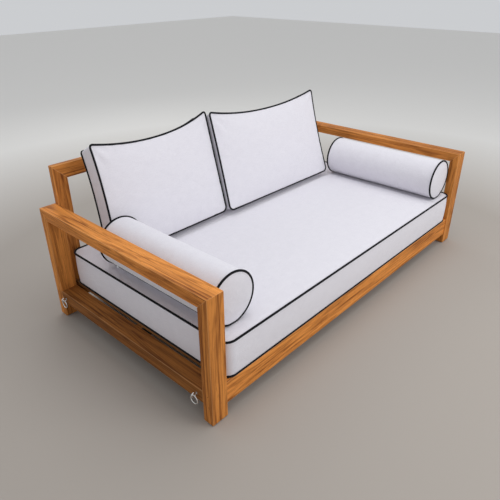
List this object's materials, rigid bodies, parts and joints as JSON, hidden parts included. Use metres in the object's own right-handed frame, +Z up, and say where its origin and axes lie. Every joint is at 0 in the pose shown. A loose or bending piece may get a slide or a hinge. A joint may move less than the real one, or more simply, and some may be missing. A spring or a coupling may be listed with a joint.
{
  "type": "daybed",
  "caption": "Low wooden daybed with open rectangular end frames, an open back frame, a slatted deck, a piped mattress, leaning back cushions and round bolsters.",
  "frame": {"origin": "on the floor under the middle of the daybed", "axes": "+X to the right along the length, +Y to the back, +Z up; the front faces -Y"},
  "size_m": [2.132, 1.1, 0.8565],
  "materials": {
    "frame_wood": "oiled teak, warm honey brown with visible grain",
    "deck_wood": "unpolished teak, planed",
    "dowel_wood": "turned hardwood, matt",
    "screw_steel": "stainless, satin",
    "bracket_steel": "black powder coat, satin",
    "glide_plastic": "matt nylon",
    "ring_steel": "polished stainless",
    "cover_fabric": "pale cool grey woven outdoor fabric",
    "piping_fabric": "black woven piping and tape",
    "foam": "open-cell foam and wadding"
  },
  "bodies": {
    "root": {"left_front_post": "frame_wood", "left_back_post": "frame_wood", "left_arm_rail": "frame_wood", "left_lower_rail": "frame_wood", "right_front_post": "frame_wood", "right_back_post": "frame_wood", "right_arm_rail": "frame_wood", "right_lower_rail": "frame_wood", "back_left_stile": "frame_wood", "back_right_stile": "frame_wood", "back_top_rail": "frame_wood", "back_lower_rail": "frame_wood", "front_rail": "frame_wood", "front_cleat": "deck_wood", "back_cleat": "deck_wood", "centre_beam": "deck_wood", "centre_leg": "deck_wood", "seat_slats": "deck_wood", "slat_screws": "screw_steel", "cleat_screws": "screw_steel", "wood_dowels": "dowel_wood", "frame_bolts": "screw_steel", "barrel_nuts": "screw_steel", "bolt_plugs": "frame_wood", "beam_brackets": "bracket_steel", "bracket_screws": "screw_steel", "foot_glides": "glide_plastic", "left_front_eye": "ring_steel", "left_back_eye": "ring_steel", "right_front_eye": "ring_steel", "right_back_eye": "ring_steel"},
    "left_front_ring": {"left_front_ring": "ring_steel"},
    "left_back_ring": {"left_back_ring": "ring_steel"},
    "right_front_ring": {"right_front_ring": "ring_steel"},
    "right_back_ring": {"right_back_ring": "ring_steel"},
    "mattress": {"mattress_cover": "cover_fabric", "mattress_core": "foam", "mattress_piping": "piping_fabric", "mattress_zip": "piping_fabric"},
    "mattress_zip_slider": {"mattress_zip_slider": "ring_steel"},
    "left_cushion": {"left_cushion_cover": "cover_fabric", "left_cushion_filling": "foam", "left_cushion_piping": "piping_fabric", "left_cushion_zip": "piping_fabric"},
    "left_cushion_zip_slider": {"left_cushion_zip_slider": "ring_steel"},
    "right_cushion": {"right_cushion_cover": "cover_fabric", "right_cushion_filling": "foam", "right_cushion_piping": "piping_fabric", "right_cushion_zip": "piping_fabric"},
    "right_cushion_zip_slider": {"right_cushion_zip_slider": "ring_steel"},
    "left_bolster": {"left_bolster_cover": "cover_fabric", "left_bolster_filling": "foam", "left_bolster_piping": "piping_fabric", "left_bolster_zip": "piping_fabric"},
    "left_bolster_zip_slider": {"left_bolster_zip_slider": "ring_steel"},
    "right_bolster": {"right_bolster_cover": "cover_fabric", "right_bolster_filling": "foam", "right_bolster_piping": "piping_fabric", "right_bolster_zip": "piping_fabric"},
    "right_bolster_zip_slider": {"right_bolster_zip_slider": "ring_steel"}
  },
  "joints": [
    {"name": "left_front_ring_swing", "type": "hinge", "parent": "root", "child": "left_front_ring", "pos_m": [-1.0535, -0.466, 0.1171], "axis": [0, 1, 0], "range_deg": [-15, 165]},
    {"name": "left_back_ring_swing", "type": "hinge", "parent": "root", "child": "left_back_ring", "pos_m": [-1.0535, 0.466, 0.1171], "axis": [0, 1, 0], "range_deg": [-15, 165]},
    {"name": "right_front_ring_swing", "type": "hinge", "parent": "root", "child": "right_front_ring", "pos_m": [1.0535, -0.466, 0.1171], "axis": [0, -1, 0], "range_deg": [-15, 165]},
    {"name": "right_back_ring_swing", "type": "hinge", "parent": "root", "child": "right_back_ring", "pos_m": [1.0535, 0.466, 0.1171], "axis": [0, -1, 0], "range_deg": [-15, 165]},
    {"name": "mattress_lift", "type": "slide", "parent": "root", "child": "mattress", "axis": [0, 0, 1], "range_m": [0, 0.35]},
    {"name": "left_cushion_lift", "type": "slide", "parent": "mattress", "child": "left_cushion", "axis": [0, 0, 1], "range_m": [0, 0.3]},
    {"name": "right_cushion_lift", "type": "slide", "parent": "mattress", "child": "right_cushion", "axis": [0, 0, 1], "range_m": [0, 0.3]},
    {"name": "left_bolster_lift", "type": "slide", "parent": "mattress", "child": "left_bolster", "axis": [0, 0, 1], "range_m": [0, 0.3]},
    {"name": "right_bolster_lift", "type": "slide", "parent": "mattress", "child": "right_bolster", "axis": [0, 0, 1], "range_m": [0, 0.3]},
    {"name": "mattress_zip_slide", "type": "slide", "parent": "mattress", "child": "mattress_zip_slider", "axis": [1, 0, 0], "range_m": [0, 1.664]},
    {"name": "left_cushion_zip_slide", "type": "slide", "parent": "left_cushion", "child": "left_cushion_zip_slider", "axis": [1, 0, 0], "range_m": [0, 0.474]},
    {"name": "right_cushion_zip_slide", "type": "slide", "parent": "right_cushion", "child": "right_cushion_zip_slider", "axis": [1, 0, 0], "range_m": [0, 0.663]},
    {"name": "left_bolster_zip_slide", "type": "slide", "parent": "left_bolster", "child": "left_bolster_zip_slider", "axis": [0, -1, 0], "range_m": [0, 0.559]},
    {"name": "right_bolster_zip_slide", "type": "slide", "parent": "right_bolster", "child": "right_bolster_zip_slider", "axis": [0, -1, 0], "range_m": [0, 0.559]}
  ]
}
